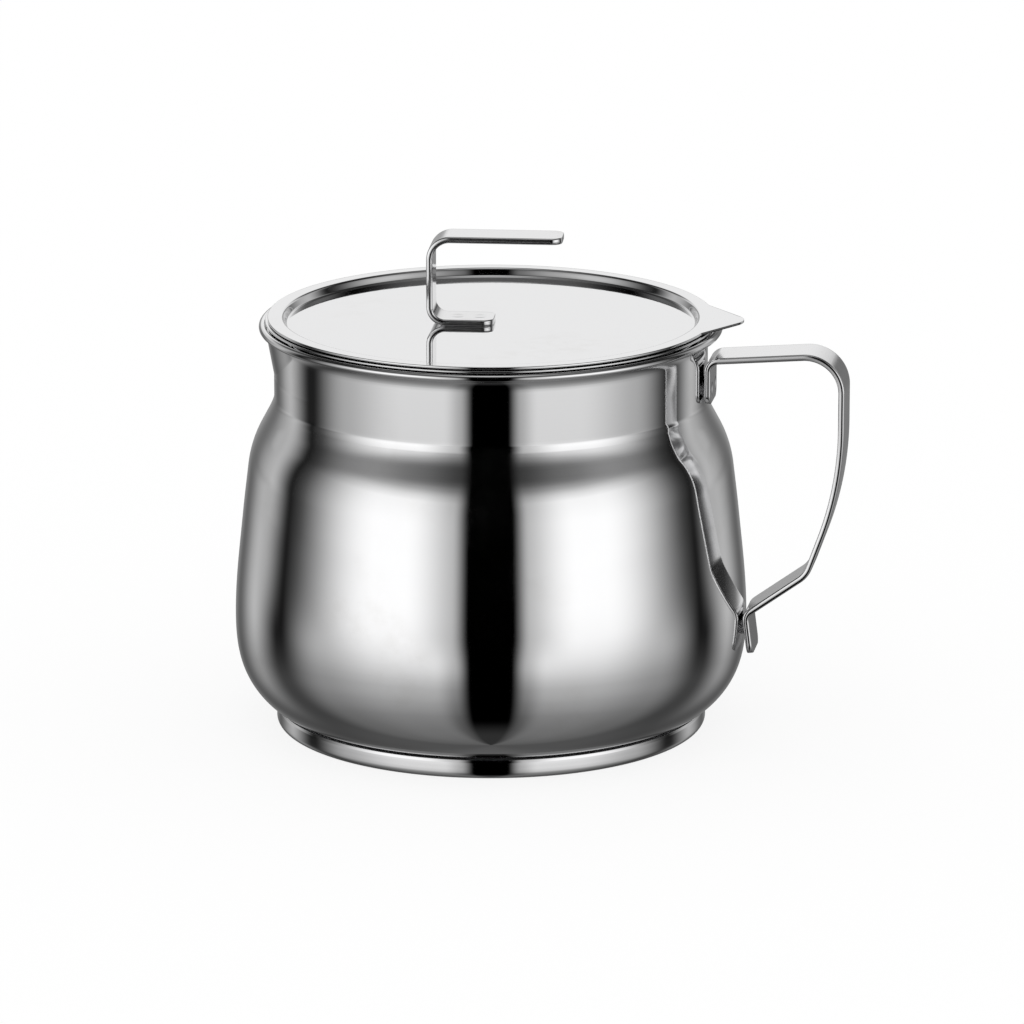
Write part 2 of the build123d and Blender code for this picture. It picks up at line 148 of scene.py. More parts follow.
def bent(
    corners: list[Point], radii: list[float], step: float = 1.5, turn: float = 6.0
) -> Line:
    """Draws a run through corners that are rounded.

    Args:
        corners: First point, corners and last point.
        radii: One bend radius for each inner corner.
        step: Longest distance between two points.
        turn: Largest angle between points on the bends, in degrees.

    Returns:
        The whole run as a line.
    """
    pieces: list[Line] = []
    here = np.array(corners[0], float)
    for index, radius in enumerate(radii):
        corner, after = (np.array(corners[index + k], float) for k in (1, 2))
        before = np.array(corners[index], float)
        come = (corner - before) / np.linalg.norm(corner - before)
        leave = (after - corner) / np.linalg.norm(after - corner)
        cross = come[0] * leave[1] - come[1] * leave[0]
        angle = math.atan2(cross, float(come @ leave))
        reach = radius * math.tan(abs(angle) / 2)
        start, side = corner - come * reach, math.copysign(1.0, angle)
        left = np.array([-come[1], come[0]]) * side
        middle = start + left * radius
        first = math.degrees(math.atan2(*(-left)[::-1]))
        finest = min(turn, math.degrees(step / radius))
        pieces += [
            straight(tuple(here), tuple(start), step),
            arc(tuple(middle), radius, first, math.degrees(angle), finest),
        ]
        here = corner + leave * reach
    pieces.append(straight(tuple(here), tuple(corners[-1]), step))
    return joined(*pieces)


def smooth(points: list[Point], start: Point, end: Point, step: float = 1.5) -> Line:
    """Draws an even curve through points.

    Args:
        points: The points that it passes through.
        start: Its direction at the first point.
        end: Its direction at the last point.
        step: Longest distance between two points of the result.

    Returns:
        The curve as a line.
    """
    knots = np.array(points, float)
    gaps = np.linalg.norm(np.diff(knots, axis=0), axis=1)
    size = len(knots)
    system, right = np.zeros((size, size)), np.zeros((size, 2))
    system[0, 0] = system[-1, -1] = 1.0
    right[0] = np.array(start, float) / np.linalg.norm(start)
    right[-1] = np.array(end, float) / np.linalg.norm(end)
    for i in range(1, size - 1):
        a, b = gaps[i - 1], gaps[i]
        system[i, i - 1 : i + 2] = [b, 2 * (a + b), a]
        rise = b / a * (knots[i] - knots[i - 1]) + a / b * (knots[i + 1] - knots[i])
        right[i] = 3 * rise
    slopes = np.linalg.solve(system, right)
    made, ways = [], []
    for i, gap in enumerate(gaps):
        count = max(2, int(math.ceil(gap / step)))
        t = np.linspace(0.0, 1.0, count + 1)[(1 if i else 0) :, None]
        p0, p1, m0, m1 = knots[i], knots[i + 1], slopes[i] * gap, slopes[i + 1] * gap
        made.append(
            (2 * t**3 - 3 * t**2 + 1) * p0
            + (t**3 - 2 * t**2 + t) * m0
            + (3 * t**2 - 2 * t**3) * p1
            + (t**3 - t**2) * m1
        )
        ways.append(
            (6 * t**2 - 6 * t) * (p0 - p1) + (3 * t**2 - 4 * t + 1) * m0 + (3 * t**2 - 2 * t) * m1
        )
    way = np.vstack(ways)
    return Line(np.vstack(made), way / np.linalg.norm(way, axis=1)[:, None])


def heading(degrees: float) -> Point:
    """Returns the unit direction at an angle from outwards towards upwards."""
    return math.cos(math.radians(degrees)), math.sin(math.radians(degrees))


def sheet_loop(side: Line, sheet: float, round_off: float, open_start: bool = False) -> Line:
    """Draws the section of a bent sheet, with its cut ends rounded off.

    Args:
        side: The side of the sheet that has its metal on the left.
        sheet: Thickness of the sheet.
        round_off: Radius along the cut edges.
        open_start: True where the section starts on the axis and has no cut end there.

    Returns:
        The section, run once round, metal on the left.
    """
    inset = Line(side.points.copy(), side.directions)
    inset.points[-1] -= side.directions[-1] * round_off
    if not open_start:
        inset.points[0] += side.directions[0] * round_off
    back = inset.shifted(sheet).reversed()

    pieces = [inset, cut_end(inset, sheet, round_off), back]
    if not open_start:
        pieces.append(cut_end(back, sheet, round_off))
    return joined(*pieces)


def cut_end(line: Line, sheet: float, round_off: float) -> Line:
    """Draws the rounded cut end that follows the last point of one side of a sheet.

    Args:
        line: The side that ends there, metal on its left.
        sheet: Thickness of the sheet.
        round_off: Radius along the cut edges.

    Returns:
        The end, from this side of the sheet to the other.
    """
    point, way = line.points[-1], line.directions[-1]
    angle = math.degrees(math.atan2(way[1], way[0]))
    left = np.array([-way[1], way[0]])
    low, high = point + left * round_off, point + left * (sheet - round_off)
    first = arc(tuple(low), round_off, angle - 90, 90, CUT_TURN)
    last = arc(tuple(high), round_off, angle, 90, CUT_TURN)
    return joined(first, last)


# ------------------------------------------------------------------ meshes
def linked(name: str, data: bpy.types.ID) -> bpy.types.Object:
    """Makes an object and links it to the scene.

    Args:
        name: Name of the object.
        data: Its mesh or camera data.

    Returns:
        The object.
    """
    thing = bpy.data.objects.new(name, data)
    bpy.context.scene.collection.objects.link(thing)
    return thing


def make_mesh(
    name: str, points: np.ndarray, faces: list[Face], sharp: float = 35.0
) -> bpy.types.Object:
    """Makes a smooth mesh object from points in millimetres.

    Args:
        name: Name of the object and its mesh.
        points: One row for each vertex.
        faces: Vertex numbers of each face.
        sharp: Angle above which an edge stays sharp, in degrees.

    Returns:
        The new object, linked to the scene.
    """
    mesh = bpy.data.meshes.new(name)
    mesh.from_pydata((points * MM).tolist(), [], faces)
    mesh.validate()
    mesh.shade_smooth()
    mesh.set_sharp_from_angle(angle=math.radians(sharp))
    return linked(name, mesh)


def quads(low: np.ndarray, high: np.ndarray) -> list[Face]:
    """Lists the faces between two closed rings of vertices.

    Args:
        low: Vertex numbers of the first ring, all the same where it is a single point.
        high: Vertex numbers of the second ring.

    Returns:
        Four-sided faces, or three-sided ones at a single point, or none between two.
    """
    a, b = low, np.roll(low, -1)
    c, d = np.roll(high, -1), high
    if a[0] == a[1] and c[0] == c[1]:
        return []
    if a[0] == a[1]:
        sides = (a, c, d)
    elif c[0] == c[1]:
        sides = (a, b, d)
    else:
        sides = (a, b, c, d)
    return list(zip(*(side.tolist() for side in sides)))


def capped_tube(ids: np.ndarray) -> list[Face]:
    """Lists the faces of a tube with closed ends.

    Args:
        ids: Vertex numbers, one row for each ring.

    Returns:
        The faces round the tube and its two end faces.
    """
    faces = [face for low, high in zip(ids[:-1], ids[1:]) for face in quads(low, high)]
    return faces + [tuple(ids[0][::-1].tolist()), tuple(ids[-1].tolist())]


def spaced(middle: float, span: float, close: int, rest: int) -> np.ndarray:
    """Spaces the columns of a turned piece, closer together round one angle.

    Args:
        middle: That angle, in degrees.
        span: How far the close columns reach to either side of it, in degrees.
        close: How many close columns there are.
        rest: How many columns the rest has, with the two at its ends.

    Returns:
        The angles, in degrees.
    """
    near = np.linspace(middle - span, middle + span, close)
    far = np.linspace(middle + span, middle + 360 - span, rest)[1:-1]
    return np.concatenate([near, far])


Mould = Callable[[np.ndarray, np.ndarray], tuple[np.ndarray, np.ndarray]]


def turned(
    name: str,
    section: Line,
    columns: np.ndarray | int = 360,
    closed: bool = False,
    mould: Mould | None = None,
    turn: float = 0.0,
) -> bpy.types.Object:
    """Turns a section about the Z axis.

    Args:
        name: Name of the piece.
        section: Its outline in radius and height, metal on the left.
        columns: How many columns, or the angle of each one in degrees.
        closed: True for a ring, whose outline comes back to its first point.
        mould: Moves the grid of radii and angles before it becomes a mesh.
        turn: Angle that the whole piece is turned by, in degrees.

    Returns:
        The piece.
    """
    angles = np.arange(columns) * 360.0 / columns if isinstance(columns, int) else columns
    rows = section.points[:-1] if closed else section.points
    radius = np.repeat(rows[:, :1], len(angles), axis=1)
    angle = np.repeat(np.radians(angles)[None, :], len(rows), axis=0)
    if mould:
        radius, angle = mould(radius, angle)
    angle = angle + math.radians(turn)
    height = np.repeat(rows[:, 1:], len(angles), axis=1)
    grid = np.stack([radius * np.cos(angle), radius * np.sin(angle), height], axis=-1)
    wide = len(angles)
    points, start, ids = [], 0, []
    for row, line in enumerate(grid):
        if rows[row, 0] < TINY:
            points.append(line[:1])
            ids.append(np.full(wide, start))
            start += 1
        else:
            points.append(line)
            ids.append(np.arange(start, start + wide))
            start += wide
    pairs = list(zip(ids[:-1], ids[1:]))
    if closed:
        pairs.append((ids[-1], ids[0]))
    faces = [face for low, high in pairs for face in quads(low, high)]
    return make_mesh(name, np.vstack(points), faces)


@dataclass(frozen=True)
class Dimple:
    """A round electrode mark pressed into a strip, placed along it and across it."""

    along: float
    across: float
    radius: float = 2.4
    depth: float = 0.35


@dataclass
class Strip:
    """A flat steel strip bent along a line in the XZ plane, with rounded ends."""

    CORNER_POINTS = 12
    DIMPLE_POINTS = 15
    FACE_POINTS = 41
    EDGE_POINTS = 9
    CLOSEST = 0.02

    middle: Line
    width: float
    sheet: float
    edge_round: float
    corner: float
    dimples: tuple[Dimple, ...] = ()
    mark_side: float = 1.0
    end_round: float = 0.25

    def stations(self) -> tuple[np.ndarray, np.ndarray, np.ndarray]:
        """Works out where the cross-sections stand.

        Returns:
            Lengths along the strip, places and directions.
        """
        at = self.middle.lengths()
        total = at[-1]
        own = [0.0, self.end_round / 2, self.end_round]
        own += list(np.linspace(self.end_round, self.corner, self.CORNER_POINTS)[1:])
        near = own + [total - value for value in own]
        for mark in self.dimples:
            near += list(mark.along + np.linspace(-mark.radius, mark.radius, self.DIMPLE_POINTS))
        base = np.arange(0.0, total, FINE_STEP)
        inner = at[(at > self.corner) & (at < total - self.corner)]
        every = np.unique(np.round(np.concatenate([near, base, inner]), 4))
        every = every[np.concatenate([[True], np.diff(every) > self.CLOSEST])]
        every[-1] = total
        place, way = (
            np.column_stack([np.interp(every, at, values[:, k]) for k in (0, 1)])
            for values in (self.middle.points, self.middle.directions)
        )
        return every, place, way / np.linalg.norm(way, axis=1)[:, None]

    def half_width(self, at: float, total: float) -> float:
        """Works out half the strip's width, which is less near its round ends.

        Args:
            at: Length along the strip.
            total: The strip's whole length.

        Returns:
            Half the width there.
        """
        gap = self.corner - min(at, total - at)
        drop = self.corner - math.sqrt(max(self.corner**2 - gap**2, 0.0)) if gap > 0 else 0.0
        return self.width / 2 - drop

    def section(self, half: float, squeeze: float) -> tuple[np.ndarray, np.ndarray]:
        """Draws one cross-section.

        Args:
            half: Half its width.
            squeeze: How much it is drawn in all round, at the strip's ends.

        Returns:
            Places across the strip and heights from its middle, run once round.
        """
        r, h = self.edge_round, self.sheet / 2
        across = np.linspace(-(half - r), half - r, self.FACE_POINTS)
        turn = np.radians(np.linspace(-90, 90, self.EDGE_POINTS)[1:-1])
        round_y, round_z = r * np.cos(turn), np.sign(np.sin(turn)) * (h - r) + r * np.sin(turn)
        y = np.concatenate([across, half - r + round_y, across[::-1], -(half - r) - round_y])
        face = np.full(self.FACE_POINTS, h)
        z = np.concatenate([-face, round_z, face, -round_z])
        shrink = (half - squeeze) / half
        return y * shrink, z * (h - squeeze) / h

    def build(self, name: str, turn: float = 0.0) -> bpy.types.Object:
        """Builds the strip.

        Args:
            name: Name of the piece.
            turn: Angle that it is turned by about the Z axis, in degrees.

        Returns:
            The piece.
        """
        at, place, way = self.stations()
        total = at[-1]
        rings = []
        for length, spot, along in zip(at, place, way):
            gap = self.end_round - min(length, total - length)
            squeeze = 0.0
            if gap > 0:
                squeeze = self.end_round - math.sqrt(max(self.end_round**2 - gap**2, 0.0))
            y, z = self.section(self.half_width(length, total), squeeze)
            for mark in self.dimples:
                far = np.hypot(y - mark.across, length - mark.along)
                pressed = mark.depth * (1 - (far / mark.radius) ** 2)
                is_face = z * self.mark_side > self.sheet / 2 - TINY
                marked = is_face & (far < mark.radius)
                z = np.where(marked, z - self.mark_side * pressed, z)
            side = np.array([-along[1], along[0]])
            flat = spot[None, :] + z[:, None] * side[None, :]
            rings.append(np.column_stack([flat[:, 0], y, flat[:, 1]]))
        grid = np.stack(rings)
        ids = np.arange(grid[..., 0].size).reshape(grid.shape[:2])
        cos, sin = math.cos(math.radians(turn)), math.sin(math.radians(turn))
        wheel = np.array([[cos, -sin, 0], [sin, cos, 0], [0, 0, 1]])
        return make_mesh(name, grid.reshape(-1, 3) @ wheel.T, capped_tube(ids))


# ------------------------------------------------------------------ shader helpers
@dataclass
class Tree:
    """Short ways to place and join nodes in one node tree."""

    COLOUR_A = 6
    COLOUR_B = 7
    MIXED_COLOUR = 2

    tree: bpy.types.NodeTree

    def node(self, kind: str, **settings: object) -> bpy.types.Node:
        """Adds a node.

        Args:
            kind: Blender's name of its type.
            settings: Properties to set on it.

        Returns:
            The node.
        """
        made = self.tree.nodes.new(kind)
        for key, value in settings.items():
            setattr(made, key, value)
        return made

    def join(self, source: bpy.types.NodeSocket, target: bpy.types.NodeSocket) -> None:
        """Links an output to an input."""
        self.tree.links.new(source, target)

    def feed(self, target: bpy.types.NodeSocket, value: object) -> None:
        """Links a socket into an input, or sets the input to a value.

        Args:
            target: The input.
            value: A socket or a plain value.
        """
        if isinstance(value, bpy.types.NodeSocket):
            self.join(value, target)
        else:
            target.default_value = value

    def math(self, operation: str, *values: object) -> bpy.types.NodeSocket:
        """Adds a Math node.

        Args:
            operation: Blender's name of the sum.
            values: Sockets or numbers that go in.

        Returns:
            The result.
        """
        made = self.node("ShaderNodeMath", operation=operation)
        for socket, value in zip(made.inputs, values):
            self.feed(socket, value)
        return made.outputs[0]

    def length(self, x: bpy.types.NodeSocket, y: bpy.types.NodeSocket) -> bpy.types.NodeSocket:
        """Adds nodes for the length of a flat vector and returns it."""
        squares = self.math("ADD", self.math("MULTIPLY", x, x), self.math("MULTIPLY", y, y))
        return self.math("SQRT", squares)

    def spread(
        self, value: object, low: object, high: object, to_low: object = 0.0, to_high: object = 1.0
    ) -> bpy.types.NodeSocket:
        """Eases a value from one range into another.

        Args:
            value: The value.
            low: Where the first range starts.
            high: Where the first range ends.
            to_low: Result at the start.
            to_high: Result at the end.

        Returns:
            The result.
        """
        made = self.node("ShaderNodeMapRange", interpolation_type="SMOOTHSTEP")
        keys = ("Value", "From Min", "From Max", "To Min", "To Max")
        for key, item in zip(keys, (value, low, high, to_low, to_high)):
            self.feed(made.inputs[key], item)
        return made.outputs["Result"]

    def mix(self, share: object, first: object, second: object) -> bpy.types.NodeSocket:
        """Mixes two colours.

        Args:
            share: Share of the second colour.
            first: The first colour.
            second: The second colour.

        Returns:
            The mixed colour.
        """
        made = self.node("ShaderNodeMix", data_type="RGBA")
        self.feed(made.inputs["Factor"], share)
        self.feed(made.inputs[self.COLOUR_A], first)
        self.feed(made.inputs[self.COLOUR_B], second)
        return made.outputs[self.MIXED_COLOUR]

    def blend(
        self, share: bpy.types.NodeSocket, first: bpy.types.Node, second: bpy.types.Node
    ) -> bpy.types.Node:
        """Blends two shaders.

        Args:
            share: Share of the second shader.
            first: The first shader.
            second: The second shader.

        Returns:
            The node that blends them.
        """
        made = self.node("ShaderNodeMixShader")
        for source, target in zip((share, first.outputs[0], second.outputs[0]), made.inputs):
            self.join(source, target)
        return made

    def split(self, vector: bpy.types.NodeSocket) -> list[bpy.types.NodeSocket]:
        """Splits a vector.

        Args:
            vector: The vector.

        Returns:
            Its three values.
        """
        parts = self.node("ShaderNodeSeparateXYZ")
        self.join(vector, parts.inputs[0])
        return list(parts.outputs)

    def place_on_piece(self) -> bpy.types.NodeSocket:
        """Adds the coordinates that stay with the piece and returns them."""
        return self.node("ShaderNodeTexCoord").outputs["Object"]

    def noise(
        self,
        place: bpy.types.NodeSocket,
        scale: object,
        detail: float = 2.0,
        seed: bpy.types.NodeSocket | None = None,
    ) -> bpy.types.NodeSocket:
        """Adds even noise.

        Args:
            place: Where it is read.
            scale: How fine it is.
            detail: How many finer layers it has.
            seed: Picks one of many patterns.

        Returns:
            The noise, from zero to one.
        """
        kind = "3D" if seed is None else "4D"
        made = self.node("ShaderNodeTexNoise", noise_dimensions=kind)
        self.join(place, made.inputs["Vector"])
        self.feed(made.inputs["Scale"], scale)
        made.inputs["Detail"].default_value = detail
        if seed is not None:
            self.join(seed, made.inputs["W"])
        return made.outputs["Fac"]


def new_group(
    name: str, inputs: dict[str, tuple[str, object]], outputs: dict[str, str]
) -> tuple[Tree, bpy.types.Node, bpy.types.Node]:
    """Starts a shader node group.

    Args:
        name: Name of the group.
        inputs: Socket names with their type and default value.
        outputs: Socket names with their type.

    Returns:
        The group's tree, its input node and its output node.
    """
    group = bpy.data.node_groups.new(name, "ShaderNodeTree")
    for label, (kind, value) in inputs.items():
        socket = group.interface.new_socket(name=label, in_out="INPUT", socket_type=kind)
        if value is not None:
            socket.default_value = value
    for label, kind in outputs.items():
        group.interface.new_socket(name=label, in_out="OUTPUT", socket_type=kind)
    tree = Tree(group)
    return tree, tree.node("NodeGroupInput"), tree.node("NodeGroupOutput")


FLOAT, VECTOR = "NodeSocketFloat", "NodeSocketVector"


def polishing_lines_group() -> bpy.types.NodeTree:
    """Builds the group for hair-fine lines that a polishing wheel leaves round a piece.

    Returns:
        A group that puts out a line height and a line mask.
    """
    lines_per_metre, slant, turns, seen = 4200.0, 0.6, 60.0, (0.52, 0.72)
    tree, given, result = new_group(
        "polishing_lines",
        {"Fineness": (FLOAT, 1.0), "Wander": (FLOAT, 1.0)},
        {"Height": FLOAT, "Mask": FLOAT},
    )
    x, y, z = tree.split(tree.place_on_piece())
    scale = tree.math("MULTIPLY", given.outputs["Fineness"], lines_per_metre)
    turn = tree.math("MULTIPLY", tree.math("ADD", x, tree.math("MULTIPLY", y, slant)), turns)
    spot = tree.node("ShaderNodeCombineXYZ")
    tree.join(tree.math("MULTIPLY", tree.length(x, y), scale), spot.inputs[0])
    tree.join(tree.math("MULTIPLY", z, scale), spot.inputs[1])
    tree.join(tree.math("MULTIPLY", turn, given.outputs["Wander"]), spot.inputs[2])
    lines = tree.noise(spot.outputs[0], 1.0)
    tree.join(lines, result.inputs["Height"])
    tree.join(tree.spread(lines, *seen), result.inputs["Mask"])
    return tree.tree


def handling_marks_group() -> bpy.types.NodeTree:
    """Builds the group for faint smudges and wiped patches.

    Returns:
        A group that puts out a smudge mask.
    """
    tree, given, result = new_group(
        "handling_marks", {"Size": (FLOAT, 0.03), "Seed": (FLOAT, 0.0)}, {"Mask": FLOAT}
    )
    place, seed = tree.place_on_piece(), given.outputs["Seed"]
    scale = tree.math("DIVIDE", 1.0, given.outputs["Size"])
    patches, streaks = (1.0, 2.0, (0.48, 0.68)), (6.0, 5.0, (0.35, 0.75))
    masks = [
        tree.spread(tree.noise(place, tree.math("MULTIPLY", scale, share), detail, seed), *seen)
        for share, detail, seen in (patches, streaks)
    ]
    tree.join(tree.math("MULTIPLY", *masks), result.inputs["Mask"])
    return tree.tree


def edge_wear_group() -> bpy.types.NodeTree:
    """Builds the group for edges that rubbing has dulled.

    Returns:
        A group that puts out a mask of worn edges.
    """
    flat, fade, breaks, worn = 0.5, 0.08, 900.0, (0.3, 0.6)
    tree, given, result = new_group("edge_wear", {"Reach": (FLOAT, 0.04)}, {"Mask": FLOAT})
    start = tree.math("ADD", flat, given.outputs["Reach"])
    stop = tree.math("ADD", start, fade)
    pointed = tree.node("ShaderNodeNewGeometry").outputs["Pointiness"]
    edge = tree.spread(pointed, start, stop)
    share = tree.spread(tree.noise(tree.place_on_piece(), breaks), *worn)
    tree.join(tree.math("MULTIPLY", edge, share), result.inputs["Mask"])
    return tree.tree


class Effects:
    """The shader node groups that several finishes share, each built once."""

    _made: dict[str, bpy.types.NodeTree] = {}
    _makers: dict[str, Callable[[], bpy.types.NodeTree]] = {
        "polishing_lines": polishing_lines_group,
        "handling_marks": handling_marks_group,
        "edge_wear": edge_wear_group,
    }

    @classmethod
    def place(cls, tree: Tree, name: str, **values: float) -> bpy.types.Node:
        """Places a group in a material.

        Args:
            tree: The material's tree.
            name: Name of the group.
            values: Values of its inputs.

        Returns:
            The group's node.
        """
        if name not in cls._made:
            cls._made[name] = cls._makers[name]()
        made = tree.node("ShaderNodeGroup", node_tree=cls._made[name])
        for key, value in values.items():
            made.inputs[key.replace("_", " ").title()].default_value = value
        return made


# ------------------------------------------------------------------ finishes
Colour = tuple[float, float, float]


def metal(name: str) -> tuple[bpy.types.Material, Tree, bpy.types.Node]:
    """Starts a metal material.

    Args:
        name: Name of the material.

    Returns:
        The material, its tree and its shader.
    """
    made = bpy.data.materials.new(name)
    made.use_nodes = True
    shader = made.node_tree.nodes["Principled BSDF"]
    shader.inputs["Metallic"].default_value = 1.0
    return made, Tree(made.node_tree), shader


@dataclass(frozen=True)
class SteelFinish:
    """A bare steel surface, from mirror bright to brushed."""

    name: str
    colour: Colour = (0.9, 0.9, 0.905)
    stain: Colour = (0.78, 0.77, 0.755)
    stain_share: float = 0.35
    roughness: float = 0.035
    line_roughness: float = 0.02
    smudge_roughness: float = 0.05
    wear_roughness: float = 0.16
    fineness: float = 1.0
    wander: float = 1.0
    bump: float = 0.01
    bump_depth: float = 0.0001
    smudge_size: float = 0.035
    seed: float = 0.0

    def material(self) -> bpy.types.Material:
        """Builds the material.

        Returns:
            The material.
        """
        made, tree, shader = metal(self.name)
        lines = Effects.place(
            tree, "polishing_lines", fineness=self.fineness, wander=self.wander
        )
        smudge = Effects.place(tree, "handling_marks", size=self.smudge_size, seed=self.seed)
        wear = Effects.place(tree, "edge_wear")
        rough: object = self.roughness
        for effect, share in (
            (lines, self.line_roughness),
            (smudge, self.smudge_roughness),
            (wear, self.wear_roughness),
        ):
            rough = tree.math("MULTIPLY_ADD", effect.outputs["Mask"], share, rough)
        tree.join(rough, shader.inputs["Roughness"])
        share = tree.math("MULTIPLY", smudge.outputs["Mask"], self.stain_share)
        colour = tree.mix(share, (*self.colour, 1.0), (*self.stain, 1.0))
        tree.join(colour, shader.inputs["Base Color"])
        bump = tree.node("ShaderNodeBump")
        bump.inputs["Strength"].default_value = self.bump
        bump.inputs["Distance"].default_value = self.bump_depth
        tree.join(lines.outputs["Height"], bump.inputs["Height"])
        tree.join(bump.outputs["Normal"], shader.inputs["Normal"])
        return made


@dataclass(frozen=True)
class RolledFinish:
    """Plain rolled aluminium with its grain along one way."""

    name: str
    colour: Colour = (0.80, 0.81, 0.82)
    shade: Colour = (0.66, 0.67, 0.69)
    roughness: float = 0.34
    grain_roughness: float = 0.12
    grain_scale: tuple[float, float, float] = (12.0, 1400.0, 200.0)

    def material(self) -> bpy.types.Material:
        """Builds the material.

        Returns:
            The material.
        """
        made, tree, shader = metal(self.name)
        place = tree.node("ShaderNodeMapping")
        place.inputs["Scale"].default_value = self.grain_scale
        tree.join(tree.place_on_piece(), place.inputs["Vector"])
        grain = tree.noise(place.outputs[0], 1.0)
        colour = tree.mix(grain, (*self.colour, 1.0), (*self.shade, 1.0))
        tree.join(colour, shader.inputs["Base Color"])
        rough = tree.math("MULTIPLY_ADD", grain, self.grain_roughness, self.roughness)
        tree.join(rough, shader.inputs["Roughness"])
        return made


class Finish(Enum):
    """Every finish on the container."""

    MIRROR = SteelFinish("mirror_steel")
    STRAP = SteelFinish(
        "strap_steel", colour=(0.87, 0.87, 0.875), roughness=0.1, bump=0.02, seed=3.0
    )
    SATIN = SteelFinish(
        "satin_steel", colour=(0.74, 0.74, 0.745), roughness=0.22, line_roughness=0.12, bump=0.12
    )
    SPUN = SteelFinish(
        "spun_steel", colour=(0.76, 0.76, 0.765), roughness=0.2, line_roughness=0.16, bump=0.2
    )
    WELD = SteelFinish(
        "weld_steel", colour=(0.55, 0.54, 0.53), stain=(0.38, 0.33, 0.28), roughness=0.32
    )
    WIRE = SteelFinish("wire_steel", colour=(0.72, 0.72, 0.725), roughness=0.2, bump=0.05)
    CORE = RolledFinish("rolled_aluminium")

    def material(self) -> bpy.types.Material:
        """Returns the finish's material, built the first time it is asked for."""
        found = bpy.data.materials.get(self.value.name)
        return found or self.value.material()


def dress(piece: bpy.types.Object, finish: Finish) -> None:
    """Gives a piece one finish all over.

    Args:
        piece: The piece.
        finish: Its finish.
    """
    if not piece.data.materials:
        piece.data.materials.append(finish.material())
    for slot in piece.material_slots:
        slot.material = finish.material()


def place_piece(piece: bpy.types.Object, node: str, body: str, finish: Finish) -> None:
    """Puts a new piece in the place of a solid of the frame.

    Args:
        piece: The new piece.
        node: The solid that it stands for.
        body: The body that it moves with.
        finish: Its finish.
    """
    dress(piece, finish)
    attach(piece, body)
    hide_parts(node)
    LOG.info("piece %s stands for %s on body %s", piece.name, node, body)


def dress_solid(node: str, finish: Finish) -> None:
    """Gives a solid of the frame a finish and reports it."""
    dress(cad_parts[node], finish)
    LOG.info("solid %s keeps its shape, finish %s", node, finish.value.name)


# ------------------------------------------------------------------ pot
@dataclass
class Base:
    """Capsule base: a pressed steel cap round an aluminium heat spreader."""

    sheet: float = 0.6
    floor_radius: float = 68.9
    wall_radius: float = 68.75
    edge_radius: float = 2.2
    wall_height: float = 5.4
    lip_height: float = 0.9
    lip_lean: float = 0.15
    spun_radius: float = 65.0
    spun_height: float = 0.1

    def build(self) -> None:
        """Builds the cap and dresses the heat spreader."""
        top = self.wall_height + self.lip_height
        corners = [
            (0.0, 0.0),
            (self.floor_radius, 0.0),
            (self.wall_radius, self.wall_height),
            (self.wall_radius - self.lip_lean, top),
        ]
        side = bent(corners, [self.edge_radius, self.lip_height], step=PLAIN_STEP)
        section = sheet_loop(side, self.sheet, THIN_CUT_ROUND, open_start=True)
        cap = turned("capsule_cap", section)
        place_piece(cap, "base_capsule", "pot", Finish.MIRROR)
        cap.data.materials.append(Finish.SPUN.material())
        for face in cap.data.polygons:
            x, y, z = face.center
            if z < self.spun_height * MM and math.hypot(x, y) < self.spun_radius * MM:
                face.material_index = 1
        dress_solid("base_core", Finish.CORE)


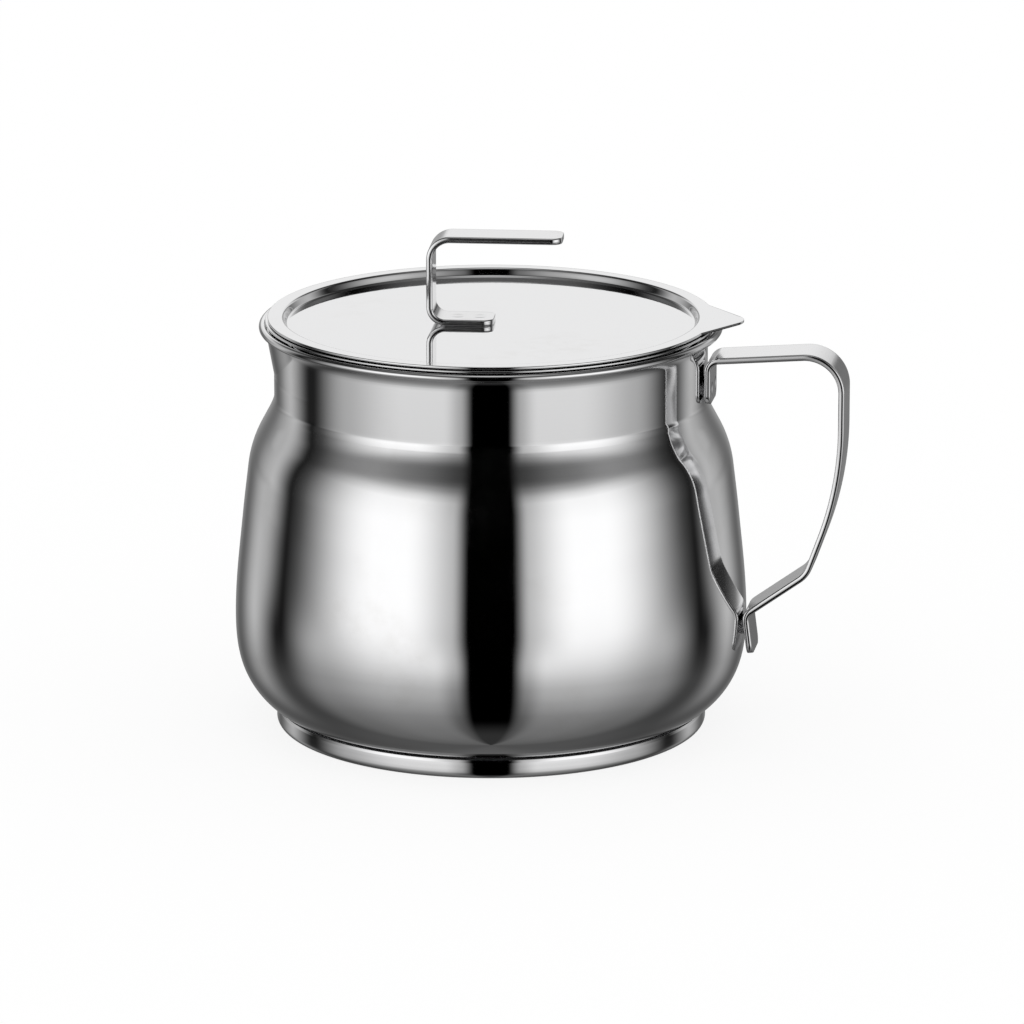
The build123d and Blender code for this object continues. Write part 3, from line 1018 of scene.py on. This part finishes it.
@dataclass
class PourLip:
    """Shallow slanted channel pressed into the neck, opposite the handle."""

    radius: float = 60.0
    start_height: float = 113.5
    top_height: float = 129.0
    top_reach: float = 71.8
    cavity_drop: float = 1.0
    neck_radius: float = 68.9
    sheet: float = 0.8
    blend_angle: float = 50.0
    even_angle: float = 22.0
    rest_angle: float = 3.0
    start_margin: float = 0.01

    def reach(self, height: np.ndarray) -> np.ndarray:
        """Returns how far out the channel's outside lies at its middle, at a height."""
        slope = (self.top_reach - self.neck_radius) / (self.top_height - self.start_height)
        return self.neck_radius + slope * (height - self.start_height)

    def wall(self, angle: np.ndarray, height: np.ndarray, inset: float) -> np.ndarray:
        """Returns the channel's distance from the axis.

        Args:
            angle: Angle from the lip's middle, in radians.
            height: Height.
            inset: How far inside its outer side the wanted side lies.

        Returns:
            The distance of that side.
        """
        offset = self.reach(height) - self.radius
        radius = self.radius - inset
        return offset * np.cos(angle) + np.sqrt(radius**2 - (offset * np.sin(angle)) ** 2)

    def crease(self, around: float, height: float) -> float:
        """Works out where the channel meets a round wall.

        Args:
            around: Radius of the wall.
            height: Height.

        Returns:
            The angle from the lip's middle, in radians.
        """
        offset = float(self.reach(np.array(height))) - self.radius
        if offset + self.radius <= around:
            return math.radians(self.rest_angle)
        share = (around**2 + offset**2 - self.radius**2) / (2 * around * offset)
        return max(math.acos(min(share, 1.0)), math.radians(self.rest_angle))

    def mould(self, outside: int, section: Line) -> Mould:
        """Makes the function that presses the lip into the shell's grid.

        Args:
            outside: How many rows of the section belong to the shell's outside.
            section: The shell's section.

        Returns:
            The function for the turned piece.
        """
        creases = np.full(len(section.points), math.radians(self.rest_angle))
        last = creases[0]
        for row in range(outside):
            around, height = section.points[row]
            if self.start_height <= height <= self.top_height:
                last = self.crease(around, height)
            if height >= self.start_height:
                creases[row] = last
        for row in range(outside, len(section.points)):
            height = section.points[row, 1]
            near = int(np.argmin(np.abs(section.points[:outside, 1] - height)))
            creases[row] = creases[near]
        return partial(self.press, creases, section, outside)

    def press(
        self,
        creases: np.ndarray,
        section: Line,
        outside: int,
        radius: np.ndarray,
        angle: np.ndarray,
    ) -> tuple[np.ndarray, np.ndarray]:
        """Presses the lip into the shell's grid, with columns drawn together along its creases.

        Args:
            creases: Angle of the crease for each row of the grid, in radians.
            section: The shell's section.
            outside: How many rows of the section belong to the shell's outside.
            radius: The grid's radii.
            angle: The grid's angles, in radians.

        Returns:
            The new radii and angles.
        """
        off = angle % (2 * math.pi) - math.pi
        wide, even = math.radians(self.blend_angle), math.radians(self.even_angle)
        size = np.abs(off)
        edge = creases[:, None]
        inner = size / even * edge
        outer = edge + (size - even) / (wide - even) * (wide - edge)
        moved = np.where(size <= even, inner, np.where(size <= wide, outer, size))
        moved = np.copysign(moved, off)
        height = np.repeat(section.points[:, 1:], angle.shape[1], axis=1)
        is_out = np.arange(len(section.points))[:, None] < outside
        top = np.where(is_out, self.top_height, self.top_height - self.cavity_drop)
        low = self.start_height - self.start_margin
        inset = np.where(is_out, 0.0, self.sheet)
        near = (np.abs(moved) < wide) & (height > low) & (height < top)
        pressed = self.wall(np.where(near, moved, 0.0), height, inset)
        return np.where(near, np.maximum(radius, pressed), radius), moved + math.pi


@dataclass
class Shell:
    """Drawn pot shell: floor, belly, shoulder, neck and a rim rolled into a bead."""

    sheet: float = 0.8
    floor_height: float = 6.0
    floor_radius: float = 64.5
    belly: tuple[Point, ...] = (
        (64.5, 6.0),
        (73.6, 10.6),
        (79.7, 20.2),
        (81.8, 36.0),
        (79.5, 66.0),
        (78.4, 76.0),
    )
    shoulder: Point = (76.5, 91.4)
    shoulder_bend: float = 35.0
    neck_radius: float = 68.9
    neck_foot: Point = (70.14, 103.2)
    neck_foot_bend: float = 32.0
    neck_start: float = 106.5
    neck_bend: float = 7.5
    flare_start: float = 125.5
    flare_middle: Point = (69.75, 128.35)
    flare_lean: float = 65.0
    rim_radius: float = 73.6
    rim_top: float = 131.2
    bead_radius: float = 1.25
    curl: float = 248.0
    lip_angle: float = 180.0
    lip_span: float = 50.0
    lip_columns: int = 161
    other_columns: int = 312
    lip: PourLip = field(default_factory=PourLip)

    def outside(self) -> Line:
        """Draws the shell's outside from the middle of the floor into the bead.

        Returns:
            The outside as a line.
        """
        end, corner = np.array(self.belly[-1]), np.array(self.shoulder)
        lean = (corner - end) / np.linalg.norm(corner - end)
        shoulder = bent(
            [
                self.belly[-1],
                self.shoulder,
                self.neck_foot,
                (self.neck_radius, self.neck_start),
                (self.neck_radius, self.flare_start),
            ],
            [self.shoulder_bend, self.neck_foot_bend, self.neck_bend],
            step=FINE_STEP,
            turn=2.0,
        )
        centre = (self.rim_radius - self.bead_radius, self.rim_top - self.bead_radius)
        bead = self.bead_radius - self.sheet
        curl = arc(centre, bead, 180 - self.flare_lean, -self.curl, step=9.0)
        flare = smooth(
            [(self.neck_radius, self.flare_start), self.flare_middle, tuple(curl.points[0])],
            heading(90),
            heading(90 - self.flare_lean),
            step=0.5,
        )
        floor = straight((0.0, self.floor_height), (self.floor_radius, self.floor_height), 2.0)
        belly = smooth(list(self.belly), heading(0), tuple(lean), step=FINE_STEP)
        return joined(floor, belly, shoulder, flare, curl)

    def build(self) -> None:
        """Builds the shell, with its columns closer together at the lip."""
        side = self.outside()
        section = sheet_loop(side, self.sheet, THIN_CUT_ROUND, open_start=True)
        mould = self.lip.mould(len(side.points), section)
        angles = spaced(self.lip_angle, self.lip_span, self.lip_columns, self.other_columns)
        shell = turned("pot_body", section, np.sort(angles % 360), mould=mould)
        place_piece(shell, "pot_shell", "pot", Finish.MIRROR)


@dataclass
class Handle:
    """Strap handle with a welded tab on the neck and one on the belly."""

    neck_radius: float = 68.9
    belly_radius: float = 81.8
    width: float = 16.0
    sheet: float = 2.0
    edge_round: float = 0.6
    corner: float = 3.0
    upper_clearance: float = 0.45
    lower_clearance: float = 0.1
    upper_tab: float = 108.0
    top_bar: float = 122.2
    bar_rise: float = 4.7
    reach: float = 112.9
    grip_bend_height: float = 83.3
    grip_lean: float = 19.8
    lower_corner: float = 53.8
    lower_bend: float = 39.85
    lower_tab: float = 26.9
    splay: float = 7.4
    bends: tuple[float, ...] = (3.6, 11.5, 105.0, 9.0, 3.6)
    weld_gap: float = 8.0
    upper_weld: float = 112.6
    lower_weld: float = 35.2

    def middle(self) -> Line:
        """Draws the strap's middle line from the upper tab to the lower one.

        Returns:
            The middle line.
        """
        upper = self.neck_radius + self.upper_clearance + self.sheet / 2
        lower = self.belly_radius + self.lower_clearance + self.sheet / 2
        rise = math.tan(math.radians(self.bar_rise)) * (self.reach - upper)
        lean = math.tan(math.radians(self.grip_lean)) * (self.grip_bend_height - self.lower_corner)
        splay = math.tan(math.radians(self.splay)) * (self.lower_bend - self.lower_tab)
        corners = [
            (upper, self.upper_tab),
            (upper, self.top_bar),
            (self.reach, self.top_bar + rise),
            (self.reach, self.grip_bend_height),
            (self.reach - lean, self.lower_corner),
            (lower, self.lower_bend),
            (lower + splay, self.lower_tab),
        ]
        return bent(corners, list(self.bends), step=FINE_STEP, turn=3.0)

    def build(self) -> None:
        """Builds the strap and dresses its welds."""
        line = self.middle()
        at = line.lengths()
        up = self.upper_weld - self.upper_tab
        drop = (self.lower_weld - self.lower_tab) / math.cos(math.radians(self.splay))
        marks = tuple(
            Dimple(along, side * self.weld_gap / 2)
            for along in (up, at[-1] - drop)
            for side in (-1, 1)
        )
        strap = Strip(
            line, self.width, self.sheet, self.edge_round, self.corner, marks, mark_side=-1.0
        ).build("strap_handle")
        place_piece(strap, "handle_strap", "pot", Finish.STRAP)
        dress_solid("handle_upper_welds", Finish.WELD)
        dress_solid("handle_lower_welds", Finish.WELD)


# ------------------------------------------------------------------ strainer
@dataclass
class WireCloth:
    """Bowl of plain-woven wire, clamped flat round its edge."""

    pitch: float = 2.0
    wire: float = 0.6
    sides: int = 5
    per_cross: int = 3
    fewest_points: int = 4
    sharp: float = 80.0
    bowl_radius: float = 62.15
    edge_radius: float = 64.8
    top: float = 115.35
    depth: float = 26.0

    def height(self, distance: np.ndarray) -> np.ndarray:
        """Works out the height of the cloth's middle.

        Args:
            distance: Distances from the axis.

        Returns:
            The heights there.
        """
        ball = (self.bowl_radius**2 + self.depth**2) / (2 * self.depth)
        inside = np.minimum(distance, self.bowl_radius)
        return self.top - self.depth + ball - np.sqrt(ball**2 - inside**2)

    def wire_path(self, index: int, lift: float) -> np.ndarray:
        """Draws one wire along X.

        Args:
            index: Its number, counted from the middle.
            lift: Plus or minus one: which side it passes first.

        Returns:
            Points along the wire.
        """
        across = index * self.pitch
        half = math.sqrt(max(self.edge_radius**2 - across**2, 0.0))
        step = self.pitch / self.per_cross
        along = np.arange(-math.floor(half / step), math.floor(half / step) + 1) * step
        weave = np.cos(np.pi * (along / self.pitch + index)) * self.wire / 2 * lift
        far = np.hypot(along, across)
        return np.column_stack([along, np.full_like(along, across), self.height(far) + weave])

    def tube(self, path: np.ndarray) -> np.ndarray:
        """Draws the rings of one round wire.

        Args:
            path: Points along the wire.

        Returns:
            The places of its vertices, one ring for each point of the path.
        """
        turn = np.arange(self.sides) * 2 * np.pi / self.sides
        way = np.gradient(path, axis=0)
        way /= np.linalg.norm(way, axis=1)[:, None]
        side = np.cross(way, (0.0, 0.0, 1.0))
        side /= np.linalg.norm(side, axis=1)[:, None]
        up = np.cross(side, way)
        ring = (
            side[:, None, :] * np.cos(turn)[None, :, None]
            + up[:, None, :] * np.sin(turn)[None, :, None]
        )
        return path[:, None, :] + ring * self.wire / 2

    def build(self) -> bpy.types.Object:
        """Builds the cloth, first the wires along X and then those along Y.

        Returns:
            The cloth.
        """
        count = int(self.edge_radius / self.pitch)
        points: list[np.ndarray] = []
        faces: list[Face] = []
        start = 0
        for swap, lift in ((False, 1.0), (True, -1.0)):
            for index in range(-count, count + 1):
                path = self.wire_path(index, lift)
                if len(path) < self.fewest_points:
                    continue
                tube = self.tube(path)
                if swap:
                    tube = tube[..., [1, 0, 2]][:, ::-1, :]
                ids = np.arange(len(path) * self.sides).reshape(len(path), self.sides) + start
                faces += capped_tube(ids)
                points.append(tube.reshape(-1, 3))
                start += ids.size
        return make_mesh("wire_cloth", np.vstack(points), faces, self.sharp)


@dataclass
class Strainer:
    """Lift-out strainer: pressed collar, wire bowl and the ring that clamps it."""

    sheet: float = 0.6
    flange_radius: float = 71.6
    flange_bend: float = 1.0
    top: float = 132.1
    bore: float = 67.15
    depth: float = 17.0
    ledge_width: float = 5.0
    ledge_bend: float = 1.5
    band_sheet: float = 0.8
    band_width: float = 3.4
    band_inset: float = 0.375
    band_rise: float = 0.5
    cloth: WireCloth = field(default_factory=WireCloth)

    def build(self) -> None:
        """Builds the collar, the cloth and the clamping ring."""
        ledge = self.top - self.depth
        corners = [
            (self.flange_radius, self.top),
            (self.bore, self.top),
            (self.bore, ledge),
            (self.bore - self.ledge_width, ledge),
        ]
        side = bent(corners, [self.flange_bend, self.ledge_bend], step=PLAIN_STEP)
        collar = turned("strainer_cup", sheet_loop(side, self.sheet, THIN_CUT_ROUND), closed=True)
        place_piece(collar, "strainer_collar", "strainer", Finish.MIRROR)
        cloth = self.cloth.build()
        place_piece(cloth, "strainer_mesh", "strainer", Finish.WIRE)
        inner = self.bore - self.ledge_width + self.band_inset
        low = ledge + self.band_rise
        band_side = straight((inner, low), (inner + self.band_width, low), CLOSE_STEP)
        band = turned("clamp_ring", sheet_loop(band_side, self.band_sheet, CUT_ROUND), closed=True)
        place_piece(band, "strainer_band", "strainer", Finish.SATIN)
        dress_solid("strainer_band_welds", Finish.WELD)


# ------------------------------------------------------------------ lid
@dataclass
class ThumbTab:
    """Pointed tab that the lid's flange draws out into, in the lid's own frame."""

    reach: float = 80.4
    tip_radius: float = 8.1
    half_angle: float = 16.0

    def outline(self, angle: np.ndarray, flange: float) -> np.ndarray:
        """Returns the flange's radius at each angle.

        Args:
            angle: Angles from the tab's middle, in radians.
            flange: Radius of the flange away from the tab.

        Returns:
            The outline's distance from the axis.
        """
        off = np.abs((angle + math.pi) % (2 * math.pi) - math.pi)
        centre = self.reach - self.tip_radius
        half = math.radians(self.half_angle)
        base = np.array([flange * math.cos(half), flange * math.sin(half)])
        away = base - np.array([centre, 0.0])
        touch = math.atan2(away[1], away[0]) - math.acos(self.tip_radius / np.linalg.norm(away))
        tangent = np.array(
            [centre + self.tip_radius * math.cos(touch), self.tip_radius * math.sin(touch)]
        )
        run = base - tangent
        cross = tangent[0] * run[1] - tangent[1] * run[0]
        flank = cross / (np.cos(off) * run[1] - np.sin(off) * run[0])
        inside = np.maximum(self.tip_radius**2 - (centre * np.sin(off)) ** 2, 0.0)
        tip = centre * np.cos(off) + np.sqrt(inside)
        swap = math.atan2(tangent[1], tangent[0])
        return np.where(off < swap, tip, np.where(off < half, flank, flange))


@dataclass
class Lid:
    """Lift-off lid: one pressing with a sunk disc, and a bent strip grip."""

    sheet: float = 0.8
    seat: float = 132.4
    flange_radius: float = 70.8
    plug_radius: float = 66.8
    recess: float = 2.55
    wall_slope: float = 1.1
    flange_bend: float = 0.9
    disc_bend: float = 0.8
    turn: float = 4.0
    tab: ThumbTab = field(default_factory=ThumbTab)
    tab_edge: float = 0.4
    tab_span: float = 20.0
    tab_columns: int = 161
    other_columns: int = 321
    grip_width: float = 13.0
    grip_sheet: float = 2.0
    grip_edge_round: float = 0.6
    grip_corner: float = 3.5
    foot_end: float = 1.2
    post: float = -19.0
    bar_end: float = 23.0
    bar_top: float = 159.5
    foot_bend: float = 5.0
    bar_bend: float = 6.5
    weld_places: tuple[float, ...] = (-10.5, -3.5)
    mark_depth: float = 0.1

    @property
    def disc_top(self) -> float:
        """Height of the sunk disc's upper side."""
        return self.seat + self.sheet - self.recess

    @property
    def mouth(self) -> float:
        """Radius of the plug wall's inner side."""
        return self.plug_radius - self.sheet

    def draw_out(self, radius: np.ndarray, angle: np.ndarray) -> tuple[np.ndarray, np.ndarray]:
        """Draws the flange out into the thumb tab.

        Args:
            radius: The grid's radii.
            angle: The grid's angles, in radians.

        Returns:
            The new radii and the same angles.
        """
        start = self.mouth + self.flange_bend + self.sheet
        end = self.flange_radius - self.tab_edge
        grow = self.tab.outline(angle, self.flange_radius) - self.flange_radius
        share = np.clip((radius - start) / (end - start), 0.0, 1.0)
        return radius + grow * share, angle

    def panel(self) -> bpy.types.Object:
        """Builds the pressed panel, with its columns closer together at the tab.

        Returns:
            The panel.
        """
        top = self.seat + self.sheet
        corners = [
            (0.0, self.disc_top),
            (self.mouth - self.wall_slope, self.disc_top),
            (self.mouth, top),
            (self.flange_radius, top),
        ]
        upper = bent(corners, [self.disc_bend, self.flange_bend], step=CLOSE_STEP, turn=5.0)
        section = sheet_loop(upper.shifted(-self.sheet), self.sheet, CUT_ROUND, open_start=True)
        angles = spaced(0.0, self.tab_span, self.tab_columns, self.other_columns)
        return turned("lid_pressing", section, angles, mould=self.draw_out, turn=self.turn)

    def grip(self) -> bpy.types.Object:
        """Builds the grip.

        Returns:
            The grip.
        """
        foot = self.disc_top + self.grip_sheet / 2
        bar = self.bar_top - self.grip_sheet / 2
        corners = [
            (self.foot_end, foot),
            (self.post, foot),
            (self.post, bar),
            (self.bar_end, bar),
        ]
        line = bent(corners, [self.foot_bend, self.bar_bend], step=FINE_STEP, turn=4.0)
        marks = tuple(
            Dimple(self.foot_end - x, 0.0, depth=self.mark_depth) for x in self.weld_places
        )
        strip = Strip(
            line,
            self.grip_width,
            self.grip_sheet,
            self.grip_edge_round,
            self.grip_corner,
            marks,
            mark_side=-1.0,
        )
        return strip.build("grip_strip", self.turn)

    def build(self) -> None:
        """Builds the lid's pieces."""
        place_piece(self.panel(), "lid_panel", "lid", Finish.MIRROR)
        place_piece(self.grip(), "lid_grip", "lid", Finish.STRAP)
        dress_solid("lid_grip_welds", Finish.WELD)


# ------------------------------------------------------------------ studio
@dataclass(frozen=True)
class Lamp:
    """One pair of soft lights, the same on both sides of the camera, seen from the object.

    Near and far are angles from the camera's side, low and high are angles of height, and each
    edge fades over its own softness to either side, all in degrees.
    """

    name: str
    near: float
    near_soft: float
    far: float
    far_soft: float
    low: float
    low_soft: float
    high: float
    high_soft: float
    light: float


LAMP_EDGES = {
    name: name.replace("_", " ").title()
    for name in ("near", "near_soft", "far", "far_soft", "low", "low_soft", "high", "high_soft")
}
WHITE = (1.0, 1.0, 1.0, 1.0)


def lamp_group() -> bpy.types.NodeTree:
    """Builds the group that tells how much of a direction one pair of lights fills.

    Returns:
        A group that puts out the lights' mask.
    """
    shortest = 1e-5
    inputs = {"Direction": (VECTOR, None), "Front": (FLOAT, 0.0)}
    inputs |= {name: (FLOAT, 0.0) for name in LAMP_EDGES.values()}
    tree, given, result = new_group("studio_lamp", inputs, {"Mask": FLOAT})
    x, y, z = tree.split(given.outputs["Direction"])
    front = tree.math("RADIANS", given.outputs["Front"])
    along = tree.math(
        "SUBTRACT",
        tree.math("MULTIPLY", x, tree.math("SINE", front)),
        tree.math("MULTIPLY", y, tree.math("COSINE", front)),
    )
    share = tree.math("DIVIDE", along, tree.math("MAXIMUM", tree.length(x, y), shortest))
    aside = tree.math("DEGREES", tree.math("ARCCOSINE", share))
    lift = tree.math("DEGREES", tree.math("ARCSINE", z))
    mask: object = 1.0
    for value, edge, rises in (
        (aside, "Near", True),
        (aside, "Far", False),
        (lift, "Low", True),
        (lift, "High", False),
    ):
        place, soft = given.outputs[edge], given.outputs[f"{edge} Soft"]
        ends = (0.0, 1.0) if rises else (1.0, 0.0)
        begin, stop = tree.math("SUBTRACT", place, soft), tree.math("ADD", place, soft)
        mask = tree.math("MULTIPLY", mask, tree.spread(value, begin, stop, *ends))
    tree.join(mask, result.inputs["Mask"])
    return tree.tree


@dataclass
class Studio:
    """Pale floor, soft light all round and the camera."""

    azimuth: float = 9.0
    elevation: float = 14.9
    distance: float = 2300.0
    target_right: float = 6.7
    target_height: float = 68.4
    lens: float = 253.1
    floor_size: float = 12.0
    floor_drop: float = 0.05
    shadow_share: float = 0.15
    sensor: float = 36.0
    clip: tuple[float, float] = (0.05, 50.0)
    gradient: tuple[tuple[float, float], ...] = (
        (-90.0, 0.02),
        (-60.0, 0.1),
        (-41.0, 0.18),
        (-29.0, 0.29),
        (-20.0, 0.42),
        (-17.0, 0.53),
        (-14.0, 0.71),
        (-11.0, 0.88),
        (-8.0, 1.0),
        (-4.0, 1.08),
        (10.0, 1.02),
        (19.0, 0.98),
        (25.0, 0.74),
        (31.0, 0.4),
        (37.0, 0.19),
        (42.0, 0.08),
        (60.0, 0.1),
        (72.0, 0.18),
        (80.0, 0.5),
        (90.0, 0.8),
    )
    lamps: tuple[Lamp, ...] = (
        Lamp("front_edge", 13.8, 4.0, 84.0, 30.0, -10.0, 4.0, 55.0, 6.0, 0.4),
        Lamp("front_box", 25.0, 15.0, 77.0, 24.5, -10.0, 4.0, 55.0, 6.0, 0.63),
        Lamp("low_front_edge", 12.5, 3.5, 95.5, 13.5, -100.0, 1.0, -10.0, 4.0, 0.56),
        Lamp("low_front_box", 19.5, 6.0, 67.0, 21.0, -100.0, 1.0, -10.0, 4.0, 0.46),
        Lamp("back_box", 116.6, 10.0, 142.0, 22.0, -10.0, 4.0, 55.0, 6.0, 0.49),
        Lamp("low_back_box", 123.5, 12.0, 145.5, 15.0, -38.0, 16.0, -10.0, 4.0, 0.68),
        Lamp("back_wall", 160.0, 16.0, 200.0, 1.0, -100.0, 1.0, 55.0, 6.0, 0.37),
        Lamp("back_screen", 140.0, 12.0, 200.0, 1.0, 8.0, 3.0, 24.0, 6.0, 0.5),
        Lamp("ceiling", -9.0, 1.0, 200.0, 1.0, 55.0, 6.0, 100.0, 1.0, 1.0),
    )
    table: tuple[Lamp, ...] = (
        Lamp("table_sides", 22.0, 8.0, 200.0, 1.0, -100.0, 1.0, -17.0, 9.0, 0.055),
        Lamp("table_front", -9.0, 1.0, 200.0, 1.0, -100.0, 1.0, -58.0, 14.0, 0.03),
    )

    def lamp(self, tree: Tree, way: bpy.types.NodeSocket, lamp: Lamp) -> bpy.types.NodeSocket:
        """Places one pair of lights in the surroundings.

        Args:
            tree: The surroundings' tree.
            way: The direction that is looked in.
            lamp: The pair of lights.

        Returns:
            How bright the pair is in that direction.
        """
        group = bpy.data.node_groups.get("studio_lamp") or lamp_group()
        node = tree.node("ShaderNodeGroup", node_tree=group, label=lamp.name)
        tree.join(way, node.inputs["Direction"])
        node.inputs["Front"].default_value = self.azimuth
        for key, label in LAMP_EDGES.items():
            node.inputs[label].default_value = getattr(lamp, key)
        return tree.math("MULTIPLY", node.outputs["Mask"], lamp.light)

    def world(self) -> None:
        """Builds the surroundings: white to the camera, soft lights to the steel."""
        world = bpy.data.worlds.new("studio")
        bpy.context.scene.world = world
        world.use_nodes = True
        world.node_tree.nodes.clear()
        tree = Tree(world.node_tree)
        way = tree.node("ShaderNodeTexCoord").outputs["Generated"]
        lift = tree.math("DEGREES", tree.math("ARCSINE", tree.split(way)[2]))
        share = tree.math("DIVIDE", tree.math("ADD", lift, 90.0), 180.0)
        ramp = tree.node("ShaderNodeValToRGB")
        tree.join(share, ramp.inputs["Fac"])
        steps = ramp.color_ramp.elements
        while len(steps) < len(self.gradient):
            steps.new(0.5)
        for step, (angle, _) in zip(steps, self.gradient):
            step.position = (angle + 90.0) / 180.0
        for step, (_, light) in zip(steps, self.gradient):
            step.color = (light, light, light, 1.0)
        level: object = 0.0
        for lamp in self.lamps:
            level = tree.math("ADD", level, self.lamp(tree, way, lamp))
        level = tree.math("MULTIPLY", ramp.outputs["Color"], level)
        for lamp in self.table:
            level = tree.math("ADD", level, self.lamp(tree, way, lamp))
        rays = tree.node("ShaderNodeLightPath")
        steel = tree.node("ShaderNodeBackground")
        tree.join(level, steel.inputs["Strength"])
        plain = tree.node("ShaderNodeBackground")
        for light in (steel, plain):
            light.inputs["Color"].default_value = WHITE
        choose = tree.blend(rays.outputs["Is Glossy Ray"], plain, steel)
        tree.join(choose.outputs[0], tree.node("ShaderNodeOutputWorld").inputs["Surface"])

    def floor(self) -> None:
        """Builds the floor, which keeps a faint shadow and stays out of the reflections."""
        mesh = bpy.data.meshes.new("studio_floor")
        half, low = self.floor_size / 2, -self.floor_drop * MM
        corners = [(-half, -half, low), (half, -half, low), (half, half, low), (-half, half, low)]
        mesh.from_pydata(corners, [], [(0, 1, 2, 3)])
        floor = linked("studio_floor", mesh)
        paint = bpy.data.materials.new("studio_paint")
        paint.use_nodes = True
        paint.node_tree.nodes.clear()
        tree = Tree(paint.node_tree)
        rays = tree.node("ShaderNodeLightPath")
        matt = tree.node("ShaderNodeBsdfDiffuse")
        matt.inputs["Color"].default_value = WHITE
        white = tree.node("ShaderNodeEmission")
        share = tree.math("MULTIPLY", rays.outputs["Is Camera Ray"], 1.0 - self.shadow_share)
        seen = tree.blend(share, matt, white)
        clear = tree.node("ShaderNodeBsdfTransparent")
        whole = tree.blend(rays.outputs["Is Glossy Ray"], seen, clear)
        tree.join(whole.outputs[0], tree.node("ShaderNodeOutputMaterial").inputs["Surface"])
        mesh.materials.append(paint)

    def camera(self) -> None:
        """Places the camera."""
        a, e = math.radians(self.azimuth), math.radians(self.elevation)
        back = Vector((math.sin(a) * math.cos(e), -math.cos(a) * math.cos(e), math.sin(e)))
        right = Vector((math.cos(a), math.sin(a), 0.0))
        target = right * self.target_right + Vector((0.0, 0.0, self.target_height))
        data = bpy.data.cameras.new("studio_camera")
        data.lens, data.sensor_width = self.lens, self.sensor
        data.clip_start, data.clip_end = self.clip
        eye = linked("studio_camera", data)
        eye.location = (target + back * self.distance) * MM
        eye.rotation_mode = "QUATERNION"
        eye.rotation_quaternion = (-back).to_track_quat("-Z", "Y")
        bpy.context.scene.camera = eye

    def build(self) -> None:
        """Builds the studio."""
        bpy.context.scene.view_settings.view_transform = "Standard"
        self.world()
        self.floor()
        self.camera()
        LOG.info("studio ready: %d pairs of lights", len(self.lamps + self.table))


def main() -> None:
    """Builds the container and its studio."""
    logging.basicConfig(level=logging.INFO, format="%(name)s: %(message)s")
    Studio().build()
    Base().build()
    Shell().build()
    Handle().build()
    Strainer().build()
    Lid().build()


if __name__ == "__main__":
    main()
